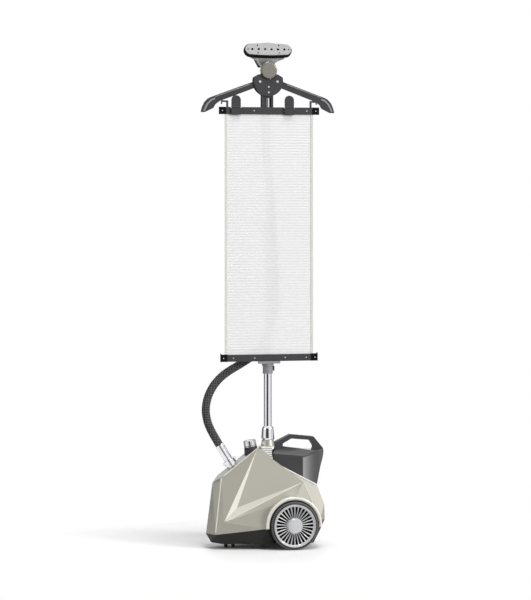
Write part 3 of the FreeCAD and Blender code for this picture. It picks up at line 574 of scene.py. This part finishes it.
def cloth():
    """A taut sheet: depth = a |cos(pi z / pitch)| plus a slow wave, easing flat at the bars."""
    low, high = (np.array(v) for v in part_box("board_fabric"))
    middle = (low[1] + high[1]) / 2
    columns, rows, strip_rows = 61, 620, 240
    pitch, rib, ease_over = 0.0092, 0.0007, 0.02
    x = np.linspace(low[0], high[0], columns)[None, :]
    z = np.linspace(low[2], high[2], rows)[:, None]
    ease = np.clip(np.minimum(z - low[2], high[2] - z) / ease_over, 0, 1)
    depth = rib * np.abs(np.cos(math.pi * (z - low[2]) / pitch)) + slow_wave(x, z, ease)
    points = np.stack(np.broadcast_arrays(x, middle - depth * ease, z), axis=-1)
    faces = grid_faces(rows, columns)
    sheet = put("board_cloth", points, faces, CLOTH, "base", "board_fabric", 180)
    thick = sheet.modifiers.new("thickness", "SOLIDIFY")
    thick.thickness = 0.0005
    strips = []
    heights = np.linspace(low[2], high[2], strip_rows)
    ease = np.clip(np.minimum(heights - low[2], high[2] - heights) / ease_over, 0, 1)
    last = (strip_rows - 1) * 4
    faces = grid_faces(strip_rows, 4, True) + [[0, 1, 2, 3], [last, last + 1, last + 2, last + 3]]
    for side, edge in ((-1, low[0]), (1, high[0])):
        inner = edge - side * 0.0075
        across = np.array([edge, inner, inner, edge])
        deep = np.array([-0.0022, -0.0022, 0.0012, 0.0012]) + middle
        sway = slow_wave(edge, heights, ease)
        ring = np.stack([np.broadcast_to(across, (strip_rows, 4)), deep[None] - sway[:, None],
                         np.broadcast_to(heights[:, None], (strip_rows, 4))], axis=-1)
        name = "cloth_binding_" + side_name(side)
        strips.append(put(name, ring, faces, BINDING, "base", (), 30))
    for piece in [sheet] + strips:
        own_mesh(piece)


# ---------------------------------------------------------------- wheels

# Profiles of (radius, height over the outer face of the tyre).
RIM_PROFILE = [
    (0.0632, -0.0100), (0.0630, -0.0050), (0.0648, -0.0030), (0.0668, -0.0026), (0.0674, -0.0040),
    (0.0682, -0.0040), (0.0688, -0.0006), (0.0706, -0.0006), (0.0713, -0.0026), (0.0713, -0.0120),
    (0.0632, -0.0100),
]
CAP_PROFILE = [
    (0.0, -0.0002), (0.0165, -0.0010), (0.0172, -0.0018), (0.0180, -0.0012), (0.0222, -0.0016),
    (0.0240, -0.0030), (0.0244, -0.0058), (0.0244, -0.0138), (0.0, -0.0138),
]
CAP_RING_PROFILE = [
    (0.0246, -0.0138), (0.0246, -0.0058), (0.0266, -0.0058), (0.0266, -0.0138), (0.0246, -0.0138),
]


def over(face, profile):
    """A profile moved up to a face."""
    return [(radius, face + height) for radius, height in profile]


def wheel(side):
    """Tyre with its tread, rim ring, tapered spokes over a black disc, and a stepped cap with a ring."""
    name = side_name(side)
    body = "wheel_" + name
    low, high = (np.array(v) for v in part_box("tyre_" + name))
    centre = np.array([(low[0] + high[0]) / 2, 0, (low[2] + high[2]) / 2])
    inner, outer = sorted((abs(low[1]), abs(high[1])))
    axis = (0, side, 0)
    radius = (high[2] - low[2]) / 2
    tyre = rounded([(0.0700, inner), (0.077, inner), (radius, inner + 0.005), (radius, outer - 0.0085),
                    (0.0745, outer - 0.0030), (0.0722, outer - 0.0012), (0.0712, outer - 0.004),
                    (0.0700, inner)], 0.0012)
    lathe("tyre_body_" + name, tyre, centre, axis, RUBBER, body, "tyre_" + name, 144)
    tread(name, side, centre, radius, inner, outer, body)
    rim = rounded(over(outer, RIM_PROFILE), 0.0006)
    lathe("rim_ring_" + name, rim, centre, axis, WHEEL_SILVER, body, (), 144)
    # The black disc behind the spokes is painted shade: it darkens the slots between the spokes.
    disc = rounded([(0.0052, outer - 0.014), (0.0640, outer - 0.014), (0.0706, outer - 0.012),
                    (0.0706, inner + 0.004), (0.066, inner + 0.003), (0.064, outer - 0.018),
                    (0.0052, outer - 0.018)], 0.001)
    lathe("rim_disc_" + name, disc, centre, axis, BLACK, body, "wheel_rim_" + name, 144)
    lathe("cap_dome_" + name, over(outer, CAP_PROFILE), centre, axis, CAP_SILVER, body, "wheel_cap_" + name,
          96)
    ring = rounded(over(outer, CAP_RING_PROFILE), 0.0006)
    lathe("cap_ring_" + name, ring, centre, axis, WHEEL_SILVER, body, (), 96)
    spokes(name, side, centre, outer, body)


def spokes(name, side, centre, outer, body):
    """Bars that widen outwards, crowned across, one every full turn / count."""
    count = 30
    rows, columns = 9, 5
    sheet = rows * columns
    first, last = 0.0258, 0.0636
    t = np.linspace(0, 1, rows)[:, None]
    v = np.linspace(-1, 1, columns)[None, :]
    reach = first + (last - first) * t
    half = 0.0008 + 0.0009 * t
    across = half * v
    crown = outer - 0.0066 + 0.0016 * t + 0.0008 * (1 - v ** 2)
    base = outer - 0.0141 + 0 * (t + v)
    points, faces = [], []
    for n in range(count):
        angle = 2 * math.pi * (n + 0.5) / count
        out = np.array([math.cos(angle), 0, math.sin(angle)])
        square = np.array([-math.sin(angle), 0, math.cos(angle)])
        for depth in (crown, base):
            place = centre + reach[..., None] * out + across[..., None] * square
            place = place + (depth + 0 * across)[..., None] * np.array([0, side, 0])
            points.append(place.reshape(-1, 3))
        start = n * 2 * sheet
        top = [[i + start for i in face] for face in grid_faces(rows, columns)]
        under = [[i + sheet for i in reversed(face)] for face in top]
        edge = [i + start for i in border(rows, columns)]
        walls = [[a, b, b + sheet, a + sheet] for a, b in zip(edge, edge[1:] + edge[:1])]
        faces += top + under + walls
    put("rim_spokes_" + name, np.vstack(points), faces, WHEEL_SILVER, body, (), 40)


def tread(name, side, centre, radius, inner, outer, body):
    """Three rows of bars round the tyre, every second row turned half a pitch, and lugs on the shoulder,
    all in paler rubber as a painted highlight on the raised tread.
    """
    rows, bars, lugs = 3, 60, 72
    bar_angle, lug_angle = 0.062, 0.046
    margin, gap = 0.007, 0.0008
    corner = np.array([[0, 0], [1, 0], [1, 1], [0, 1]], float)
    width = (outer - inner - 2 * margin) / rows
    points, faces = [], []

    def place(reach, across, angle):
        points.append(np.stack([centre[0] + reach * np.cos(angle), side * across,
                                centre[2] + reach * np.sin(angle)], axis=1))

    for row in range(rows):
        for n in range(bars):
            angle = 2 * math.pi * (n + 0.5 * (row % 2)) / bars + (corner[:, 0] - 0.5) * bar_angle
            across = inner + margin + row * width + gap + corner[:, 1] * (width - 2 * gap)
            faces += block(len(points) * 4)
            for rise in (radius - 0.0008, radius):
                place(rise, across, angle)
    for n in range(lugs):
        angle = 2 * math.pi * n / lugs + (corner[:, 0] - 0.5) * lug_angle
        reach = np.where(corner[:, 1] > 0, radius - 0.0002, 0.0748)
        deep = np.where(corner[:, 1] > 0, outer - 0.0062, outer - 0.0030)
        faces += block(len(points) * 4)
        for rise in (-0.0022, 0.0016):
            place(reach, deep + rise, angle)
    put("tyre_tread_" + name, np.vstack(points), faces, TREAD_HIGHLIGHT, body, (), 30)


# ---------------------------------------------------------------- base, tank, pole, hanger, head

def base():
    for side in ("left", "right"):
        soften("side_shell_" + side, CHAMPAGNE, 0.0022, 3, 6.0)
    soften("spine_cover", SILVER, 0.0006)
    soften("tank_deck", LIGHT_TRIM, 0.0006)
    soften("vent_tower", LIGHT_TRIM, 0.0004)
    louvre_shadow()
    soften("base_pan", PAN_DARK, 0.001, 2, 12.0)
    soften("knob_pedestal", DARK, 0.0012)
    soften("hose_collar", CHROME, 0.0012, 3)
    soften("hose_sleeve", CHROME, 0.0012, 3)
    soften("steam_knob", CHROME, 0.0015, 3)


def louvre_shadow():
    """A grey sheet inside the vent tower: painted shade that shows in the slots between the white louvres.
    """
    inset = 0.0011
    levels = (0.2985, 0.3300)
    low, high = (np.array(v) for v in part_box("vent_tower"))
    x0, y0, x1, y1 = low[0] + inset, low[1] + inset, high[0] - inset, high[1] - inset
    corners = np.array([[x0, y0], [x1, y0], [x1, y1], [x0, y1]])
    points = np.concatenate([np.column_stack([corners, np.full(4, z)]) for z in levels])
    faces = grid_faces(2, 4, True)
    put("louvre_shade_sheet", points, faces, GREY_AND_PAINTED_LIGHT, "base", (), 30)


def deck_trim_highlight():
    """White beads where the tank deck meets the side shells, and up the front corners of the deck: the
    deck's own white, and a painted highlight along these edges.
    """
    for side in (-1, 1):
        name = side_name(side)
        edge = [(6, side * 30.5, 285.0), (80, side * 45.2, 245.8), (155, side * 60.2, 206.2)]
        corner = [(7.5, side * 29.5, 284), (8.5, side * 27.5, 302)]
        bead("deck_trim_highlight_" + name, edge, 0.0030, LIGHT_TRIM, "base")
        bead("deck_corner_highlight_" + name, corner, 0.0018, LIGHT_TRIM, "base")


# Creases and corners of the right side shell, in millimetres.
RIDGES = {
    "nose": [(-194, 65, 58), (-166.6, 30.4, 236)],
    "ledge": [(-158, 67.4, 95), (100, 58.4, 214)],
    "tail": [(110, 58.5, 214), (149, 110, 100)],
    "shoulder": [(-160, 31, 240), (-45, 29, 329)],
}
RECESS = {
    "low": (-164.5, 67.1, 94),
    "mid": (-119.5, 56.2, 137.5),
    "apex": (-45, 29.3, 326),
    "crest": (98, 57.3, 213.5),
}
FACETS = {"wall": ("low", "apex", "mid"), "ledge": ("low", "mid", "crest")}


def recess_facets():
    """Painted highlights on the wall and the ledge of the side recess, paler than the shell round them:
    each facet a skin 1.4 mm thick.
    """
    lift = np.array([0, 0.0007, 0])
    faces = [[0, 1, 2], [5, 4, 3], [0, 3, 4, 1], [1, 4, 5, 2], [2, 5, 3, 0]]
    for side in (-1, 1):
        for key, material in (("wall", HIGHLIGHT_PEARL), ("ledge", LEDGE_HIGHLIGHT)):
            front = np.array([RECESS[corner] for corner in FACETS[key]]) * MM
            points = np.vstack([front - lift, front + lift]) * np.array([1, side, 1])
            name = "recess_" + key + "_" + side_name(side)
            put(name, points, faces, material, "base", (), 20)


def shell_ridges():
    """Fine ridges along the creases of the side shells, in the paler pearl: painted highlights on the
    crease lines.
    """
    for side in (-1, 1):
        for key, ends in RIDGES.items():
            path = [(x, side * y, z) for x, y, z in ends]
            bead("ridge_" + key + "_" + side_name(side), path, 0.0017, HIGHLIGHT_PEARL, "base")


ARCH_HUB_X = 0.062
ARCH_HUB_Z = 0.080
ARCH_ROLL_R = 0.0905  # the middle of the lip
ARCH_ROLL_HALF = 0.0052  # half the width of the lip
ARCH_ROLL_Y = 0.1168
ARCH_ROLL_RISE = 0.0026
ARCH_ROLL_ENDS = (math.radians(-4.5), math.radians(184.5))


def arch_rolls():
    """A rounded roll on each arch lip, in the paler pearl as a painted highlight: height = h (1 - v^2)
    across the lip.
    """
    rows, columns = 97, 9
    angle = np.linspace(*ARCH_ROLL_ENDS, rows)[:, None]
    v = np.linspace(-1, 1, columns)[None, :]
    reach = ARCH_ROLL_R + ARCH_ROLL_HALF * v + 0 * angle
    height = ARCH_ROLL_Y + ARCH_ROLL_RISE * (1 - v ** 2) + 0 * angle
    faces = grid_faces(rows, columns)
    for side in (-1, 1):
        points = np.stack([ARCH_HUB_X + reach * np.cos(angle), side * height,
                           ARCH_HUB_Z + reach * np.sin(angle)], axis=-1)
        put("arch_roll_" + side_name(side), points, faces, HIGHLIGHT_PEARL, "base", (), 60)


KNOB_TILT = math.radians(10)
KNOB_FOOT = (-0.054, 0, 0.303)
KNOB_SEAT = 0.0324  # from the foot to the underside of the knob, along its axis


def knob_trim():
    """Two black rings round the steam knob, one near its foot and one under its top."""
    axis = (-math.sin(KNOB_TILT), 0, math.cos(KNOB_TILT))
    seat = np.array(KNOB_FOOT) + np.array(axis) * KNOB_SEAT
    for name, radius, height in (("knob_ring_low", 0.0212, 0.0035), ("knob_ring_top", 0.0186, 0.0200)):
        inner, outer = radius - 0.0012, radius + 0.0006
        under, top = height - 0.0006, height + 0.0006
        ring = rounded([(inner, under), (outer, under), (outer, top), (inner, top), (inner, under)], 0.0004)
        lathe(name, ring, seat, axis, BLACK, "knob", (), 72)


def tank():
    soften("tank_body", TANK, 0.005, 4)
    soften("tank_handle", DARK, 0.003, 3)


def pole():
    soften("pole_collar", CHAMPAGNE, 0.001)
    soften("pole_cup", CHROME, 0.001)
    soften("lower_lock_collar", GREY_AND_PAINTED_LIGHT, 0.0012)
    soften("upper_lock_collar", DARK, 0.0012)
    soften("lower_lock_lever", DARK, 0.0008)
    soften("upper_lock_lever", DARK, 0.0008)


def hanger():
    for node in ("arm_left", "arm_right"):
        soften(node, DARK, 0.004, 4)
    for node in ("hub_front", "hub_back", "top_bar", "bottom_bar", "clip_left", "clip_right", "hanger_stem",
                 "board_hooks"):
        soften(node, DARK, 0.0009)


# The painted highlight strip of the right arm, along its bevel: X and Z, in millimetres.
ARM_HIGHLIGHT_STRIP = [
    (184, 1500.5), (197, 1495), (211, 1481.5), (220, 1464), (222.5, 1455.5), (217.5, 1455.5), (214, 1464),
    (206, 1479), (195, 1489.5), (182, 1495.5),
]
END_PLATE = 24  # width and greatest height of a bar's end plate, in millimetres


def hanger_trim():
    """Light grey strips and ridges on the arms, painted highlights along their bevels, and black end plates
    on the two bars.
    """
    for side in (-1, 1):
        arm = "arm_" + side_name(side)
        arm_highlight = [(side * x, z) for x, z in ARM_HIGHLIGHT_STRIP]
        ridge = [(side * 62, -8.0, 1546), (side * 184, -8.0, 1502.5)]
        flat_piece("highlight_strip_" + arm, arm_highlight, -8.9, -7.6, GREY_AND_PAINTED_LIGHT, arm)
        bead("ridge_" + arm, ridge, 0.0016, GREY_AND_PAINTED_LIGHT, arm)
        for bar, body in (("top_bar", "pole_upper"), ("bottom_bar", "base")):
            low, high = (np.array(v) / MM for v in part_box(bar))
            outer = side * (high[0] + 0.5)
            inner = side * (high[0] + 0.5 - END_PLATE)
            base_z, top_z = low[2] - 0.3, min(high[2], low[2] + END_PLATE) + 0.3
            plate = [(inner, base_z), (outer, base_z), (outer, top_z), (inner, top_z)]
            flat_piece(bar + "_end_" + side_name(side), plate, low[1] - 0.8, low[1] + 3, BLACK, body)


def head():
    soften("soleplate", PLATE, 0.001)
    soften("head_seal", BLACK, 0.0012)
    soften("head_shell", HEAD_GREY, 0.002, 3)
    soften("head_neck", DARK, 0.001)
    soften("head_handle", DARK, 0.002, 3)
    # The round cap takes the darker copy of the champagne: painted shade.
    soften("round_cap", SHADED_CHAMPAGNE, 0.0016, 3)
    soften("hose_cuff", DARK, 0.0016, 3)


PLATE_TILT = math.radians(24)
PLATE_Y = -6  # the middle of the soleplate, in millimetres
PLATE_Z = 1662
PLATE_FACE = 4.2  # from there out to its face
SCREWS = ((-37, 14), (37, 14), (-37, -14), (37, -14), (-70, 0), (70, 0))


def plate_screws():
    """Dark screw heads round the edge of the soleplate, square to its tilt."""
    out = np.array([0, -math.cos(PLATE_TILT), math.sin(PLATE_TILT)])
    up = np.array([0, math.sin(PLATE_TILT), math.cos(PLATE_TILT)])
    disc = rounded([(0.0, 0.0009), (0.0021, 0.0009), (0.0021, 0.0), (0.0, 0.0)], 0.0003)
    for n, (x, rise) in enumerate(SCREWS):
        centre = (np.array([x, PLATE_Y, PLATE_Z]) + up * rise + out * PLATE_FACE) * MM
        lathe("plate_screw_%d" % (n + 1), disc, centre, out, BLACK, "steam_head", (), 24)


REMAINING = {
    "champagne": CHAMPAGNE, "silver_grey": SILVER, "dark_plastic": DARK, "smoked_tank": TANK,
    "chrome": CHROME, "steel": STEEL, "aluminium": PLATE, "brass": BRASS, "board_green": GREEN,
    "tyre": RUBBER, "wheel_silver": WHEEL_SILVER, "board_cloth": CLOTH, "hose_braid": BRAID,
}


def finish_cad_nodes():
    """Every CAD piece gets its slot's material."""
    slots = {row["node"]: row["material_slot"] for row in frame["record"]["subparts"]}
    for node, piece in frame["nodes"].items():
        if not piece.material_slots:
            piece.data.materials.append(None)
        for holder in piece.material_slots:
            holder.material = REMAINING[slots[node]]


# ---------------------------------------------------------------- stage

CAMERA_YAW = math.radians(14)
CAMERA_BACK = 8.7
CAMERA_HEIGHT = 1.169
FOCAL_MM = 155.8
SHIFT_X = -0.0037
SHIFT_Y = -0.1717

AIM = Vector((0, 0, 0.8))
SOFTBOXES = [  # name, place, watts, size
    ("key_right", (7.4, -7.6, 4.6), 700, 2.6), ("key_top", (0.6, -3.0, 8.6), 330, 3.0),
    ("rim_left", (-9.6, -3.6, 3.6), 60, 3.0), ("back_top", (1.5, 7.5, 6.5), 150, 3.0),
]

DIMMED = 0.62  # how much of the white is kept from diffuse light
DARK_BANDS = [  # the middle and the half width in degrees of heading, and how dark
    (-22.0, 26.0, 0.93), (104.0, 16.0, 0.85), (-126.0, 20.0, 0.9), (62.0, 6.0, 0.6),
]
BANDS_RISE = 0.52  # the sine of the height at which the bands end


def sky():
    """White surroundings, dimmed for diffuse light, with dark bands round the compass in reflections."""
    world = bpy.context.scene.world or bpy.data.worlds.new("studio")
    bpy.context.scene.world = world
    world.use_nodes = True
    tree = world.node_tree
    back = tree.nodes["Background"]
    back.inputs["Color"].default_value = (1, 1, 1, 1)
    ray = tree.nodes.new("ShaderNodeLightPath")
    where = tree.nodes.new("ShaderNodeTexCoord")
    split = tree.nodes.new("ShaderNodeSeparateXYZ")
    tree.links.new(where.outputs["Generated"], split.inputs[0])
    x, y, z = (Value(tree, split.outputs[k]) for k in "XYZ")
    heading = x.heading(0.0 - y) * (180 / math.pi)
    shade = 0.0
    for middle, half, depth in DARK_BANDS:
        shade = (heading - middle).absolute().below(half) * depth + shade
    shade = shade * z.absolute().below(BANDS_RISE)
    glossy = Value(tree, ray.outputs["Is Glossy Ray"])
    diffuse = Value(tree, ray.outputs["Is Diffuse Ray"])
    strength = 1.0 - diffuse * DIMMED - glossy * shade
    tree.links.new(strength.socket, back.inputs["Strength"])


def stage():
    """A small pale floor under four large soft boxes."""
    size = 1.6
    corners = [(-size, -size, 0), (size, -size, 0), (size, size, 0), (-size, size, 0)]
    mesh = bpy.data.meshes.new("floor")
    mesh.from_pydata(corners, [], [(0, 1, 2, 3)])
    mesh.materials.append(ground())
    floor = bpy.data.objects.new("floor", mesh)
    bpy.context.scene.collection.objects.link(floor)
    bpy.context.scene.view_settings.view_transform = "Standard"
    for name, place, energy, spread in SOFTBOXES:
        light = bpy.data.lights.new(name, "AREA")
        light.energy = energy
        light.size = spread
        lamp = bpy.data.objects.new(name, light)
        lamp.location = place
        lamp.rotation_euler = (AIM - Vector(place)).to_track_quat("-Z", "Y").to_euler()
        bpy.context.scene.collection.objects.link(lamp)


def camera():
    """A level camera: the lens is shifted down to frame the whole machine."""
    lens = bpy.data.cameras.new("camera")
    lens.sensor_width = 36
    lens.lens = FOCAL_MM
    lens.shift_x = SHIFT_X
    lens.shift_y = SHIFT_Y
    lens.clip_end = 100
    across, along = math.sin(CAMERA_YAW), math.cos(CAMERA_YAW)
    view = bpy.data.objects.new("camera", lens)
    view.location = (-CAMERA_BACK * across, -CAMERA_BACK * along, CAMERA_HEIGHT)
    view.rotation_euler = (math.pi / 2, 0, -CAMERA_YAW)
    bpy.context.scene.collection.objects.link(view)
    bpy.context.scene.camera = view


camera()
sky()
stage()
hose()
cloth()
wheel(-1)
wheel(1)
base()
tank()
pole()
hanger()
hanger_trim()
deck_trim_highlight()
shell_ridges()
recess_facets()
arch_rolls()
knob_trim()
head()
plate_screws()
finish_cad_nodes()
